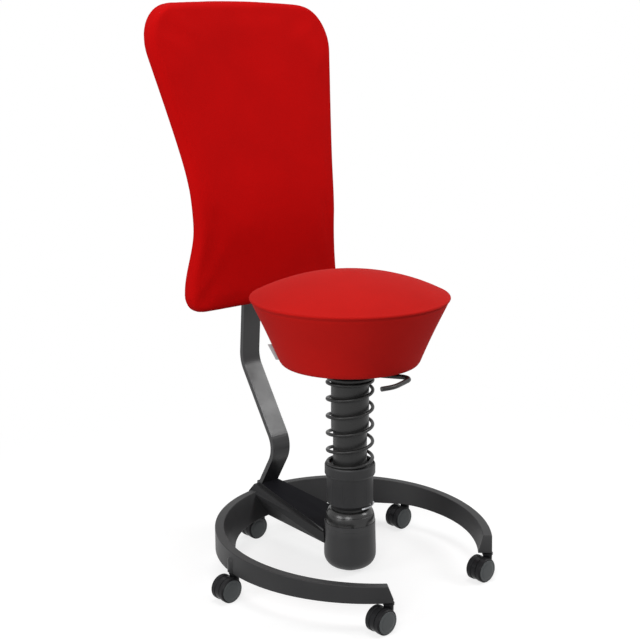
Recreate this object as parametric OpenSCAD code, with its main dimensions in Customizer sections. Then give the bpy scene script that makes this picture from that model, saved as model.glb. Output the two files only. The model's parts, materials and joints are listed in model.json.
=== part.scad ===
// Balance stool with a backrest, on an open foot ring with five castors.
// Millimetres. The floor is z = 0, the strut stands on the Z axis and the sitter faces -Y.

/* [Foot ring] */
// Outer radius of the rear half of the ring
ring_r = 278; // [262:1:300]
// How far each front arc's centre lies past the strut, which opens the ring to the front
ring_shift = 46; // [20:1:60]
// Thickness of the flat bar
ring_t = 18; // [16:0.5:20]
// Height of the bar at the rear
ring_h = 52; // [46:1:60]
// Height of the ring's underside above the floor
ring_z = 55; // [55:0.5:60]
// Fall of the ring's upper edge towards the front, per millimetre
ring_fall = 0.034; // [0.01:0.002:0.04]
// Ring left beyond the end castors
ring_end = 11; // [9:0.5:16]
// Upright part of each cut end
ring_end_foot = 10; // [6:0.5:14]
// Lean of the cut end above that, per millimetre
ring_end_lean = 0.6; // [0.3:0.05:0.8]
// Radius of the socket bosses
boss_r = 12; // [11:0.25:13]
// Height of the socket bosses
boss_h = 33; // [30:1:38]

/* [Castors] */
// Turn of the castor pattern about the strut
castor_turn = 4.8; // [0:0.2:6]
// Angle from the rear castor to the middle ones
castor_mid_angle = 74.8; // [70:0.2:80]
// Angle from the rear castor to the end ones
castor_end_angle = 147; // [140:0.2:150]
// Radius of the wheels
wheel_r = 25; // [22:0.5:25]
// Width of one wheel
wheel_w = 12.5; // [10:0.5:14]
// Gap between a wheel and the hood
wheel_gap = 1; // [0.6:0.1:1.5]
// Trail of the axle behind the stem
castor_trail = 20; // [17:0.5:22]
// Thickness of the hood between the wheels
hood_t = 11; // [10:0.5:12]
// Radius of the stem in the ring
stem_r = 5.5; // [5:0.25:6]
// Radius of the stem's lower part, in the hood
stem_low_r = 3.8; // [3.5:0.1:4]
// Depth of the stem's socket in the ring
stem_depth = 28; // [24:1:30]
// Depth of the sockets next to the ring's cut ends
stem_depth_end = 15; // [12:0.5:16]
// Radius of the axle
axle_r = 4; // [3:0.25:4.5]

/* [Arm and backrest bar] */
// Height of the arm's upper face over the ring
arm_z = 121; // [118:0.5:126]
// Where that height is measured, behind the strut
arm_y = 265; // [255:1:272]
// Fall of the arm's upper face towards the strut, per millimetre
arm_fall = 0.135; // [0.11:0.005:0.15]
// Half width of the arm's upper face at that place
arm_half_w = 23.3; // [20:0.1:26]
// Widening of the arm towards the strut, per millimetre
arm_widen = 0.102; // [0.09:0.002:0.104]
// Half width of the arm's shoulder on the ring
arm_shoulder = 46; // [40:1:50]
// Height of the arm's underside at the ring
arm_foot_z = 55; // [55:0.5:57]
// Rise of the arm's underside towards the strut, per millimetre
arm_rise = 0.02; // [0:0.005:0.03]
// Thickness of the foot plate on the arm
plate_t = 6; // [4:0.5:8]
// Width of the flat bar
bar_w = 46; // [40:1:50]
// Thickness of the flat bar
bar_t = 10; // [8:0.5:12]
// Forward lean of the bar's lowest stretch, in degrees
bar_lean_low = 30.7; // [26:0.5:34]
// Backward lean of the bar's middle stretch, in degrees
bar_lean_mid = 32; // [29:0.5:34]
// Forward lean of the bar's upper stretch, in degrees
bar_lean_top = 4.2; // [2:0.2:6]
// Height where the lower two stretches meet
bar_knee_z = 209; // [200:1:220]
// Height where the upper two stretches meet
bar_elbow_z = 388.2; // [378:1:394]
// Height of the bar's upper end
bar_top_z = 680; // [660:1:700]
// Radius of the lower bend, at mid thickness
bar_knee_r = 56; // [40:1:64]
// Radius of the upper bend, at mid thickness
bar_elbow_r = 63; // [50:1:70]

/* [Backrest] */
// Height of the backrest's lower edge
back_z0 = 525; // [515:1:535]
// Height of the backrest's upper corners
back_z1 = 1146; // [1110:1:1160]
// Half width at the waist
back_waist = 183; // [175:1:200]
// Widening above the waist, per millimetre
back_flare = 0.205; // [0.15:0.005:0.24]
// Height where the widening begins
back_flare_z = 794; // [780:1:810]
// Extra half width at the foot
back_foot = 17.5; // [10:0.5:22]
// Height where the extra width at the foot begins
back_foot_z = 700; // [680:1:715]
// Height over the lower edge where the foot is widest
back_foot_low = 34; // [26:1:44]
// Distance of the lumbar bulge's centre line behind the strut
back_y = 254; // [252:0.5:262]
// Lean of the upper backrest, per millimetre
back_lean = 0.26; // [0.2:0.01:0.27]
// Height where that lean begins
back_lean_z = 762; // [750:1:775]
// Set-back of the foot of the backrest
back_foot_y = 16.5; // [10:0.5:18]
// Softness of both transitions
back_blend = 60; // [50:1:80]
// Thickness of the cushion
back_t = 36; // [30:1:40]
// Bulge of the cushion's front face
back_crown = 5; // [2:0.5:8]
// Rise of the upper edge in the middle
back_arch = 5; // [3:0.5:12]
// Corner radius at the lower edge
back_corner_low = 44; // [26:1:48]
// Corner radius at the upper edge
back_corner_top = 104; // [50:1:110]
// Rounding of the cushion's edges
back_edge = 16; // [12:0.5:17]
// Thickness of the rear shell
shell_t = 6; // [4:0.5:8]
// Margin of the cushion round the rear shell
shell_inset = 16; // [12:1:24]

/* [Strut] */
// Radius of the joint housing
hub_r = 53.9; // [52:0.1:56]
// Radius of the housing's upper edge and collar
collar_r = 52.5; // [51.5:0.1:53.5]
// Height of the housing's upper edge
hub_z1 = 96.7; // [95:0.1:98]
// Rounding of the housing's foot
hub_round = 28; // [24:0.5:30]
// Height where that rounding begins
hub_round_z = 36; // [34:0.5:38]
// Radius of the bottom cap
cap_r = 31; // [28:0.5:34]
// Clearance of the bottom cap over the floor
cap_z = 5; // [3:0.5:7]
// Height of the collar
collar_h = 10; // [8:0.5:11]
// Height of the tilting joint's centre
pivot_z = 76; // [74:1:78]
// Radius of the joint's pins
pin_r = 4; // [3:0.25:5]
// Radius of the stem's core
core_r = 22; // [20:0.5:24]
// Radius of the neck under the adjusting cup
neck_r = 38.6; // [37:0.1:39.5]
// Radius of the gaiter's lower edge
gaiter_r = 51.6; // [50:0.1:52]
// Height of the neck's lower edge
neck_z = 134.5; // [131:0.5:136]
// Radius of the lower tube
tube_r = 34.8; // [33:0.1:36]
// Wall of the lower tube
tube_wall = 3; // [2:0.5:4]
// Height of the lower tube's upper end
tube_z1 = 352; // [340:1:356]

/* [Adjusting cup] */
// Radius of the cup
cup_r = 47.8; // [45:0.1:50]
// Height of the cup's lower edge
cup_z = 139.6; // [138:0.1:142]
// Height of the cup's lower bevel
cup_bevel = 9.8; // [7:0.2:12]
// Radius of the flange
flange_r = 52.1; // [50.5:0.1:54]
// Height of the flange's lower edge
flange_z = 208; // [200:1:214]
// Height of the flange's upper edge
flange_top_z = 231; // [229:0.5:233]
// Depth of the spring's seat in the flange
seat_depth = 3.2; // [2:0.2:5]
// Thickness of the adjusting lever
flip_t = 3; // [2:0.25:3.5]
// Width of the adjusting lever
flip_w = 4; // [3:0.25:5]
// Sweep of the adjusting lever round the cup
flip_sweep = 58; // [40:1:70]

/* [Coil spring] */
// Outer radius of the spring
spring_r = 49.7; // [48:0.1:50]
// Diameter of the spring's wire
wire_d = 7.2; // [6:0.1:7.6]
// Rise of the wire in one turn
spring_pitch = 36.2; // [33:0.1:40]
// Turns that lie flat at each end
spring_flat = 0.7; // [0.4:0.05:0.75]

/* [Sleeve and gas column] */
// Radius of the upper sleeve
sleeve_r = 38.7; // [37.5:0.1:41]
// Height of the sleeve's lower edge
sleeve_z = 306; // [296:1:312]
// Radius of the spring's upper plate
top_plate_r = 48.4; // [46:0.1:50]
// Height of the spring's upper plate, its lower face
top_plate_z = 410.8; // [406:0.2:414]
// Thickness of the spring's upper plate
top_plate_t = 8; // [6:0.5:10]
// Radius of the gas cylinder
cylinder_r = 25; // [23:0.5:27]
// Wall of the gas cylinder
cylinder_wall = 2; // [1.5:0.25:3]
// Radius of the sliding column
column_r = 14; // [12.5:0.25:15]
// Height of the column's lower end
column_z0 = 303; // [300:1:310]
// Height of the column's upper end
column_z1 = 548; // [545:1:552]
// Radius of the piston rod
rod_r = 5; // [4:0.25:6]
// Travel of the column downwards
height_down = 90; // [80:1:92]
// Travel of the column upwards
height_up = 45; // [30:1:48]

/* [Seat] */
// Radius of the seam round the top
seat_r = 200; // [185:1:212]
// Height of that seam
seat_z = 578; // [570:1:590]
// Height of the crown's middle
crown_z = 630; // [615:1:640]
// Radius of the seat's lower edge
seat_foot_r = 139.4; // [130:0.5:150]
// Height of the seat's lower edge
seat_foot_z = 444; // [440:1:452]
// Thickness of the upholstered side
side_t = 13; // [10:0.5:16]
// How far the side is drawn in at mid height
side_draw = 1.5; // [0:0.25:4]
// Rounding of the seam
seam_round = 6; // [4:0.5:9]
// Wall of the seat shell
pan_wall = 4; // [3:0.5:6]
// Depth of the seat shell's top below the seam
pan_drop = 2; // [1:0.5:8]
// Radius of the socket on the column
socket_r = 24; // [22:0.5:28]
// Half width of the seat plate
seat_plate_r = 72; // [60:1:90]

/* [Height lever] */
// Radius of the bent rod
lever_r = 4.8; // [4:0.1:5.5]
// Height of the lever's reach under the seat
lever_z = 435; // [433:0.5:436]
// Distance of the lever's upright from the strut
lever_reach = 86; // [82:1:92]
// Direction of the lever seen from above, in degrees from +X
lever_turn = -96; // [-110:1:-80]
// Turn of the run under the seat away from that direction, in degrees
lever_skew = 38; // [30:1:46]
// Length of the run under the seat
lever_run = 50; // [46:1:56]
// Turn of the grip away from the run, in degrees
grip_turn = 105; // [90:1:115]
// Length of the grip's straight stretch
grip_length = 36; // [26:1:44]
// Radius of the bend into the grip
grip_bend = 19; // [14:1:24]
// Turn of the grip's end, in degrees
grip_curl = 29; // [10:1:40]
// Radius of the grip's end
grip_curl_r = 60; // [45:1:80]

/* [Hidden] */
$fn = 96;

// Clearances
fit = 0.05;          // radial, of a shaft in its bore
joint_gap = 0.15;    // between pieces of one body that meet on a curve
soft_gap = 0.3;      // round soft pieces, and between bodies
over = 1;            // overshoot of a cutter past the face it cuts
bend_swell = 0.04;   // how much the rod swells in a bend
bend_lap = 0.3;      // how far its straights run into the bend
far = 400;           // half size of the cutting blocks

// Colours
anthracite = [0.23, 0.23, 0.24];
gloss_black = [0.07, 0.07, 0.08];
soft_black = [0.13, 0.13, 0.14];
steel = [0.65, 0.66, 0.68];
red = [0.76, 0.08, 0.07];

// A smooth ramp: 0 well below d = 0 and d well above it
function ramp(d, k) = (d + sqrt(d * d + k * k)) / 2;
// A smooth step from 0 to 1
function ease(t) = let(s = min(1, max(0, t))) s * s * (3 - 2 * s);
function polar(r, a) = [r * cos(a), r * sin(a)];

// A ring or tube between two heights
module tube(r_out, r_in, z0, z1) {
    translate([0, 0, z0]) difference() {
        cylinder(r = r_out, h = z1 - z0);
        translate([0, 0, -over]) cylinder(r = r_in, h = z1 - z0 + 2 * over);
    }
}

// Draws in the plane seen from the side: x is the distance behind the strut, y the height
module side_plane() {
    rotate([90, 0, 90]) children();
}

// Foot ring

ring_front_r = ring_r + ring_shift;
ring_mid = ring_front_r - ring_t / 2;
castor_angles = [castor_turn + castor_mid_angle, castor_turn + castor_end_angle,
    castor_turn - castor_end_angle, castor_turn - castor_mid_angle, castor_turn];

// Distance of the bar's middle from the strut, at angle a from the rear
function ring_reach(a) = abs(a) <= 90 ? ring_r - ring_t / 2
    : sqrt(pow(ring_mid, 2) - pow(ring_shift * cos(a), 2)) - ring_shift * abs(sin(a));
function socket_depth(i) = i == 1 || i == 2 ? stem_depth_end : stem_depth;
function stem_at(i) = let(a = castor_angles[i], r = ring_reach(a)) [-r * sin(a), r * cos(a)];
// Sweep of a front arc, to the ring's end past the castor i
function front_sweep(i) = let(p = stem_at(i))
    atan2(-p[1], abs(p[0]) + ring_shift) + ring_end / ring_mid * 180 / PI;

// The block under the ring's sloping upper edge is kept, what is above it goes
module above_ring(raise = 0) {
    translate([0, ring_r, ring_z + ring_h + raise]) rotate([atan(ring_fall), 0, 0])
        translate([-far, -2 * far, 0]) cube([2 * far, 2.5 * far, ring_h]);
}

module rear_half(grow = 0) {
    translate([0, 0, ring_z - grow]) rotate_extrude(angle = 180, $fn = 180)
        translate([ring_r - ring_t - grow, 0]) square([ring_t + 2 * grow, ring_h + 2 * grow]);
}

// One front arc, drawn on the left side, with its cut end
module front_arc(sweep) {
    lean = ring_end_lean * (ring_h - ring_end_foot);
    difference() {
        translate([ring_shift, 0, ring_z]) rotate([0, 0, 180])
            rotate_extrude(angle = sweep, $fn = 180)
            translate([ring_front_r - ring_t, 0]) square([ring_t, ring_h]);
        translate([ring_shift, 0, ring_z]) rotate([0, 0, 180 + sweep])
            translate([ring_front_r - ring_t - over, 0, 0])
            side_plane() linear_extrude(ring_t + 2 * over)
            polygon([[0, ring_end_foot], [over, ring_end_foot], [over, ring_h + over],
                [-lean - ring_end_lean * over, ring_h + over]]);
    }
}

module foot_ring() {
    color(anthracite) difference() {
        union() {
            rear_half();
            front_arc(front_sweep(1));
            mirror([1, 0, 0]) front_arc(front_sweep(2));
            for (i = [0, 3]) translate([each stem_at(i), ring_z]) cylinder(r = boss_r, h = boss_h);
        }
        above_ring();
        for (i = [0 : 4]) translate([each stem_at(i), ring_z - over])
            cylinder(r = stem_r + fit, h = socket_depth(i) + over);
    }
}

// Arm from the ring's rear to the joint housing

arm_rear_y = ring_r + 1;
arm_front_y = hub_r / 2;
function arm_top(y) = arm_z + arm_fall * (y - arm_y);
function arm_half(y) = arm_half_w + arm_widen * (arm_y - y);
function arm_foot(y) = arm_foot_z + arm_rise * (arm_y - y);

arm_shoulder_z = ring_z + ring_h - 2;

// Corners of the arm's section at the distance y: upper edge, shoulder and foot
function arm_section(y, shoulder) = let(w = arm_half(y), z = arm_top(y), foot = arm_foot(y),
    mid = max(foot + over, min(arm_shoulder_z, z - over)))
    [[-w, y, z], [w, y, z], [shoulder, y, mid], [w, y, foot], [-w, y, foot], [-shoulder, y, mid]];

module arm_block() {
    ends = concat(arm_section(arm_rear_y, arm_shoulder), arm_section(arm_front_y, arm_half(arm_front_y) + 2));
    hull() polyhedron(ends, [[0, 1, 2, 3, 4, 5], [11, 10, 9, 8, 7, 6], [0, 6, 7, 1], [1, 7, 8, 2],
        [2, 8, 9, 3], [3, 9, 10, 4], [4, 10, 11, 5], [5, 11, 6, 0]]);
}

// Everything above the arm's upper face, lowered by drop square to it
module above_arm(drop) {
    translate([0, arm_y, arm_z]) rotate([atan(arm_fall), 0, 0])
        translate([-far / 2, -far, -drop]) cube([far, 2 * far, far / 2]);
}

// Everything below the foot plate's underside
module below_plate() {
    translate([0, arm_y, arm_z]) rotate([atan(arm_fall), 0, 0])
        translate([-far / 2, -far, -plate_t - far / 2]) cube([far, 2 * far, far / 2]);
}

module hub_cutter() {
    translate([0, 0, cap_z]) cylinder(r = hub_r + joint_gap, h = arm_z);
}

module ring_arm() {
    color(anthracite) difference() {
        arm_block();
        above_arm(plate_t);
        hub_cutter();
        rear_half(joint_gap);
    }
}

// Bent flat bar with its foot plate

function heading(lean) = [sin(lean), cos(lean)];
function beside(lean) = [cos(lean), -sin(lean)];
// Point reached from p along a lean, at the height z
function climb(p, lean, z) = p + heading(lean) * (z - p[1]) / cos(lean);

bar_lean = [-bar_lean_low, bar_lean_mid, -bar_lean_top];
bar_root = [arm_y + 2, arm_z];
bar_knee = climb(bar_root, bar_lean[0], bar_knee_z);
bar_elbow = climb(bar_knee, bar_lean[1], bar_elbow_z);
bar_top = climb(bar_elbow, bar_lean[2], bar_top_z);
function bend_run(i, r) = r * tan(abs(bar_lean[i + 1] - bar_lean[i]) / 2);

// Points beside the bar's middle line through the bend i, shift behind that line
function bend_side(corner, i, r, shift) = let(back = sign(bar_lean[i + 1] - bar_lean[i]),
    centre = corner - bend_run(i, r) * heading(bar_lean[i]) + back * r * beside(bar_lean[i]))
    [for (k = [0 : bend_steps]) let(lean = bar_lean[i] + (bar_lean[i + 1] - bar_lean[i]) * k / bend_steps)
        centre - (back * r - shift) * beside(lean)];
bend_steps = 12;
// The bar's face shift behind its middle line, from the foot to the top
function bar_face(shift) = concat(
    [bar_root - bar_root_run * heading(bar_lean[0]) + shift * beside(bar_lean[0])],
    bend_side(bar_knee, 0, bar_knee_r, shift), bend_side(bar_elbow, 1, bar_elbow_r, shift),
    [bar_top + shift * beside(bar_lean[2])]);
bar_root_run = 12;
bar_front_face = bar_face(-bar_t / 2);
bar_rear_face = bar_face(bar_t / 2);
bar_outline = concat(bar_front_face, [for (k = [len(bar_rear_face) - 1 : -1 : 0]) bar_rear_face[k]]);

module foot_plate() {
    difference() {
        translate([0, arm_y, arm_z]) rotate([atan(arm_fall), 0, 0])
            translate([0, -arm_y, -plate_t]) linear_extrude(plate_t)
            polygon([[-arm_half(arm_rear_y), arm_rear_y], [arm_half(arm_rear_y), arm_rear_y],
                [arm_half(arm_front_y), arm_front_y], [-arm_half(arm_front_y), arm_front_y]]);
        hub_cutter();
    }
}

// Screws through the bar into its bracket: along the bar, counted from its top
screw_r = 4;
screw_places = [40, 110];
screw_head_r = 6.5;
screw_head_h = 4;
bracket_rear = 4;    // wall of the bracket behind the bar
bracket_deep = 12;   // how far the screws reach into the bracket before the bar

// Places its children on the bar's rear face, z pointing backwards
module at_screws() {
    for (s = screw_places) let(p = bar_top - s * heading(bar_lean[2]) + bar_t / 2 * beside(bar_lean[2]))
        side_plane() translate([each p, 0]) rotate([0, 0, -bar_lean[2]]) rotate([0, 90, 0]) children();
}

module backrest_bar() {
    color(gloss_black) difference() {
        union() {
            foot_plate();
            difference() {
                side_plane() translate([0, 0, -bar_w / 2]) linear_extrude(bar_w) polygon(bar_outline);
                below_plate();
            }
        }
        at_screws() translate([0, 0, -bar_t - over]) cylinder(r = screw_r + fit, h = bar_t + 2 * over);
    }
}

// Backrest: one form, drawn at any inset and between two depths about its middle surface

function back_half(z) = back_waist + back_flare * ramp(z - back_flare_z, back_blend)
    + back_foot * ease((back_foot_z - z) / (back_foot_z - back_z0 - back_foot_low));
function back_mid(z) = back_y + back_lean * ramp(z - back_lean_z, back_blend)
    + back_foot_y * ease((back_foot_z + 15 - z) / (back_foot_z - back_z0 - back_foot_low));

// How much a corner of radius r takes off the half width, d inside the edge
function corner_loss(r, d) = d >= r ? 0 : r - sqrt(max(0, r * r - (r - d) * (r - d)));
back_steps = 24;
// The form's levels: fine in the corners, even between them
function back_levels(inset) = let(z0 = back_z0 + inset, z1 = back_z1 - inset,
    low = back_corner_low - inset / 2, top = back_corner_top - inset / 2) concat(
    [for (a = [0, 14, 30, 48, 68]) z0 + low * (1 - cos(a))],
    [for (k = [0 : back_steps]) z0 + low + (z1 - top - z0 - low) * k / back_steps],
    [for (a = [70, 52, 36, 22, 10, 0]) z1 - top * (1 - cos(a))]);

// Section: the front face from the left to the right, the right edge, the rear face, the left edge;
// e is the edges' rounding
function back_ring(z, w, h, e, mid, crown, arch) = let(flat = w - e, n = 8, m = 6) concat(
    [for (k = [0 : n]) let(x = flat * (2 * k / n - 1))
        [x, mid - h - crown * (1 - pow(x / w, 2)), z + arch * (1 - pow(x / w, 2))]],
    [for (k = [1 : m - 1]) let(a = -90 + 180 * k / m)
        [flat + e * cos(a), mid + h * sin(a), z + arch * (1 - pow((flat + e * cos(a)) / w, 2))]],
    [for (k = [0 : n]) let(x = flat * (1 - 2 * k / n))
        [x, mid + h, z + arch * (1 - pow(x / w, 2))]],
    [for (k = [1 : m - 1]) let(a = 90 + 180 * k / m)
        [-flat + e * cos(a), mid + h * sin(a), z + arch * (1 - pow((-flat + e * cos(a)) / w, 2))]]);

module back_form(inset, y0, y1, crown, edge) {
    z0 = back_z0 + inset;
    z1 = back_z1 - inset;
    levels = back_levels(inset);
    rings = [for (z = levels) let(
        w = back_half(z) - inset - corner_loss(back_corner_low - inset / 2, z - z0)
            - corner_loss(back_corner_top - inset / 2, z1 - z),
        d = min(z - z0, z1 - z),
        h = (y1 - y0) / 2 - corner_loss(edge, d),
        rise = max(0, (z - z0) / (z1 - z0)))
        back_ring(z, w, h, edge, back_mid(z) + (y0 + y1) / 2, crown * h / ((y1 - y0) / 2),
            back_arch * rise * rise)];
    n = len(rings[0]);
    top = len(rings) - 1;
    ends = [for (r = [rings[0], rings[top]]) [0, (r[4][1] + r[18][1]) / 2, (r[4][2] + r[18][2]) / 2]];
    points = concat([for (r = rings) each r], ends);
    first = n * len(rings);
    faces = concat(
        [for (j = [0 : top - 1], k = [0 : n - 1]) let(a = j * n + k, b = j * n + (k + 1) % n)
            each [[a, a + n, b], [b, a + n, b + n]]],
        [for (k = [0 : n - 1]) [k, (k + 1) % n, first]],
        [for (k = [0 : n - 1]) [top * n + (k + 1) % n, top * n + k, first + 1]]);
    polyhedron(points, faces);
}

back_rear = back_t / 2;
back_front = -back_t / 2;

module backrest_cushion() {
    color(red) back_form(0, back_front, back_rear, back_crown, back_edge);
}

module backrest_shell() {
    color(soft_black) back_form(shell_inset, back_rear + soft_gap, back_rear + soft_gap + shell_t, 0,
        shell_t / 2 - 1);
}

// Bracket that holds the bar's upper end behind the shell
bracket_reach = 120;  // how far it reaches down the bar
bracket_low = bar_top_z - bracket_reach;
bracket_half = bar_w / 2 + 10;
bracket_over = 8;    // how far it rises past the bar
bracket_gap = 0.6;   // behind the curved shell

module backrest_bracket() {
    steps = 16;
    face = back_rear + soft_gap + shell_t + bracket_gap;
    front = [for (k = [0 : steps]) let(z = bracket_low + (bar_top_z + bracket_over - bracket_low) * k / steps)
        [back_mid(z) + face, z]];
    rear = [(bar_t / 2 + bracket_rear) / cos(bar_lean[2]), 0];
    rear_low = climb(bar_elbow, bar_lean[2], bracket_low) + rear;
    rear_top = climb(bar_elbow, bar_lean[2], bar_top_z + bracket_over) + rear;
    color(soft_black) difference() {
        side_plane() translate([0, 0, -bracket_half]) linear_extrude(2 * bracket_half)
            polygon(concat(front, [rear_top, rear_low]));
        side_plane() translate([each bar_elbow, -bar_w / 2 - joint_gap]) rotate([0, 0, -bar_lean[2]])
            translate([-bar_t / 2 - joint_gap, 0, 0])
            cube([bar_t + 2 * joint_gap, norm(bar_top - bar_elbow) + joint_gap, bar_w + 2 * joint_gap]);
        at_screws() translate([0, 0, -bar_t - bracket_deep])
            cylinder(r = screw_r + fit, h = bar_t + bracket_deep + 2 * bracket_rear);
    }
}

module bracket_screws() {
    color(steel) at_screws() {
        translate([0, 0, -bar_t - bracket_deep + over])
            cylinder(r = screw_r, h = bar_t + bracket_deep - over + bracket_rear);
        translate([0, 0, bracket_rear]) cylinder(r = screw_head_r, h = screw_head_h);
    }
}

// Joint housing

hub_wall = 8;
hub_well = 22;       // height of the well's floor
cap_spigot_r = 4;
cap_spigot_h = 12;
collar_z = hub_z1 + soft_gap;

module housing_pin_places() {
    for (s = [0, 180]) translate([0, 0, pivot_z]) rotate([0, 90, s]) children();
}

gimbal_out = 37;
gimbal_in = core_r + 5;
gimbal_h = 16;

module joint_housing() {
    arc_r = hub_r - hub_round;
    low = acos((cap_r - arc_r) / hub_round);
    color(anthracite) difference() {
        rotate_extrude() polygon(concat([[0, hub_round_z - hub_round * sin(low)]],
            [for (k = [0 : 8]) let(a = low * (1 - k / 8))
                [arc_r + hub_round * cos(a), hub_round_z - hub_round * sin(a)]],
            [[hub_r, hub_z1 / 2], [collar_r, hub_z1], [0, hub_z1]]));
        translate([0, 0, hub_well]) cylinder(r = hub_r - hub_wall, h = hub_z1);
        housing_pin_places() translate([0, 0, gimbal_out])
            cylinder(r = pin_r + fit, h = hub_r - gimbal_out - 2);
        translate([0, 0, cap_z]) cylinder(r = cap_spigot_r + fit, h = cap_spigot_h + over);
    }
}

module housing_collar() {
    color(anthracite) tube(collar_r, collar_r - 6, collar_z, collar_z + collar_h);
}

module bottom_cap() {
    top = hub_round_z - hub_round * sin(acos((cap_r - hub_r + hub_round) / hub_round));
    color(soft_black) {
        translate([0, 0, cap_z]) cylinder(r1 = cap_r - 5, r2 = cap_r - 1, h = top - soft_gap / 2 - cap_z);
        translate([0, 0, cap_z]) cylinder(r = cap_spigot_r, h = cap_spigot_h);
    }
}

// Two pins from the housing into the gimbal ring, across the stool
module housing_pins() {
    color(steel) housing_pin_places() translate([0, 0, gimbal_in + 2])
        cylinder(r = pin_r, h = hub_r - gimbal_in - 4.5);
}

module gimbal_ring() {
    color(steel) difference() {
        tube(gimbal_out, gimbal_in, pivot_z - gimbal_h / 2, pivot_z + gimbal_h / 2);
        for (a = [0, 90]) translate([0, 0, pivot_z]) rotate([90, 0, a])
            translate([0, 0, -far / 2]) cylinder(r = pin_r + fit, h = far);
    }
}

// Two pins from the gimbal ring into the stem, along the stool
module gimbal_pins() {
    color(steel) for (s = [0, 180]) translate([0, 0, pivot_z]) rotate([90, 0, s])
        translate([0, 0, core_r - 10]) cylinder(r = pin_r, h = gimbal_out - core_r + 9);
}

// Swinging stem: core in the housing, neck above it
spigot_h = 12;
core_z0 = 34;
stem_foot_r = 15;    // in the rubber ring
neck_flare = 12;     // height over which the core widens into the neck

module joint_stem() {
    shoulder = pivot_z - gimbal_h;
    spigot_r = tube_r - tube_wall - joint_gap;
    color(soft_black) difference() {
        rotate_extrude() polygon([[0, core_z0], [stem_foot_r, core_z0], [stem_foot_r, shoulder],
            [core_r, shoulder + core_r - stem_foot_r], [core_r, neck_z - neck_flare], [neck_r, neck_z],
            [neck_r, cup_z], [spigot_r, cup_z], [spigot_r, cup_z + spigot_h], [0, cup_z + spigot_h]]);
        translate([0, 0, pivot_z]) rotate([90, 0, 0]) translate([0, 0, -far / 2])
            cylinder(r = pin_r + fit, h = far);
    }
}

// Rubber ring round the stem's foot, which brings it back upright
module joint_rubber() {
    color(gloss_black) tube(hub_r - hub_wall - soft_gap, stem_foot_r + soft_gap,
        hub_well + soft_gap, pivot_z - gimbal_h - 2);
}

// Domed rubber gaiter over the joint, from the collar up to the neck
module gaiter() {
    wall = 3;
    z0 = collar_z + collar_h + soft_gap;
    z1 = neck_z + 1;
    steps = 8;
    r0 = neck_r + soft_gap;
    outer = [for (k = [0 : steps]) let(a = 90 * k / steps)
        [r0 + (gaiter_r - r0) * cos(a), z0 + (z1 - z0) * sin(a)]];
    inner = [for (k = [0 : steps]) let(a = 90 - 90 * k / steps)
        [r0 + (gaiter_r - r0 - wall) * cos(a), z0 + (z1 - z0 - wall) * sin(a)]];
    color(gloss_black) rotate_extrude() polygon(concat(outer, inner));
}

module lower_tube() {
    color(soft_black) tube(tube_r, tube_r - tube_wall, cup_z, tube_z1);
}

// Adjusting cup that carries the spring

cup_floor = flange_top_z - seat_depth;
flip_angle = -45;
flip_pin_r = 1.5;
flip_eye_r = 3.6;
flip_place = polar(cup_r - flip_eye_r - 0.8, flip_angle);
flip_z0 = cup_z + 4;
flip_z1 = flip_z0 + flip_t;
flip_lap = 2;         // how far the crescent runs past its pin, in degrees
flip_room = 6.8;      // radius of the recess in which the lever's end turns
flip_pin_h = 18;

module adjuster_cup() {
    groove_r = 1.2;
    color(soft_black) difference() {
        rotate_extrude() polygon([[tube_r + fit, cup_z + soft_gap], [neck_r, cup_z + soft_gap],
            [cup_r, cup_z + cup_bevel],
            [cup_r, flange_z - 1], [flange_r - 1.5, flange_z], [flange_r, flange_z + 3],
            [flange_r, flange_top_z - 3], [flange_r - 1.2, flange_top_z],
            [spring_r + soft_gap, flange_top_z], [spring_r + soft_gap, cup_floor],
            [tube_r + fit, cup_floor]]);
        translate([each flip_place, cup_z - over])
            cylinder(r = flip_room, h = flip_z1 - cup_z + over + soft_gap);
        translate([each flip_place, flip_z0]) cylinder(r = flip_pin_r + fit, h = flip_pin_h);
        for (a = [0 : 30 : 330]) rotate([0, 0, a]) translate([cup_r + 0.8, 0, cup_z + cup_bevel + 8])
            cylinder(r = groove_r, h = flange_z - cup_z - cup_bevel - 20, $fn = 24);
    }
}

module adjuster_pin() {
    color(steel) translate([each flip_place, flip_z0 - 0.5]) cylinder(r = flip_pin_r, h = flip_pin_h);
}

// Flat crescent folded against the cup's bevel
module adjuster_lever() {
    slope = (cup_r - neck_r) / cup_bevel;
    inner = neck_r + slope * (flip_z1 - cup_z) + soft_gap;
    color(steel) difference() {
        union() {
            rotate([0, 0, flip_angle - flip_sweep]) translate([0, 0, flip_z0])
                rotate_extrude(angle = flip_sweep + flip_lap) translate([inner, 0]) square([flip_w, flip_t]);
            translate([each flip_place, flip_z0]) cylinder(r = flip_eye_r, h = flip_t);
        }
        translate([each flip_place, flip_z0 - over])
            cylinder(r = flip_pin_r + fit, h = flip_t + 2 * over);
    }
}

// Coil spring: one wire, flat at both ends

wire_r = wire_d / 2;
spring_mid = spring_r - wire_r;
spring_low = cup_floor + soft_gap + wire_r;
spring_high = top_plate_z - soft_gap - wire_r;
spring_turns = (spring_high - spring_low) / spring_pitch;
spring_start = -132.6;
spring_soft = 0.16;
curl_rings = 8;

function wire_z(t) = spring_low + spring_pitch * (ramp(t, spring_soft) - ramp(t - spring_turns, spring_soft));
function wire_at(t) = let(a = spring_start + 360 * t)
    [spring_mid * cos(a), spring_mid * sin(a), wire_z(t)];
wire_steps = ceil((spring_turns + 2 * spring_flat) * curl_rings);
wire_turns = [for (k = [0 : wire_steps])
    -spring_flat + (spring_turns + 2 * spring_flat) * k / wire_steps];
wire_gap = min([for (a = wire_turns, b = wire_turns) if (b > a + 0.6) norm(wire_at(a) - wire_at(b))])
    - wire_d;
echo("least gap of the spring to itself", wire_gap);

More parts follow.
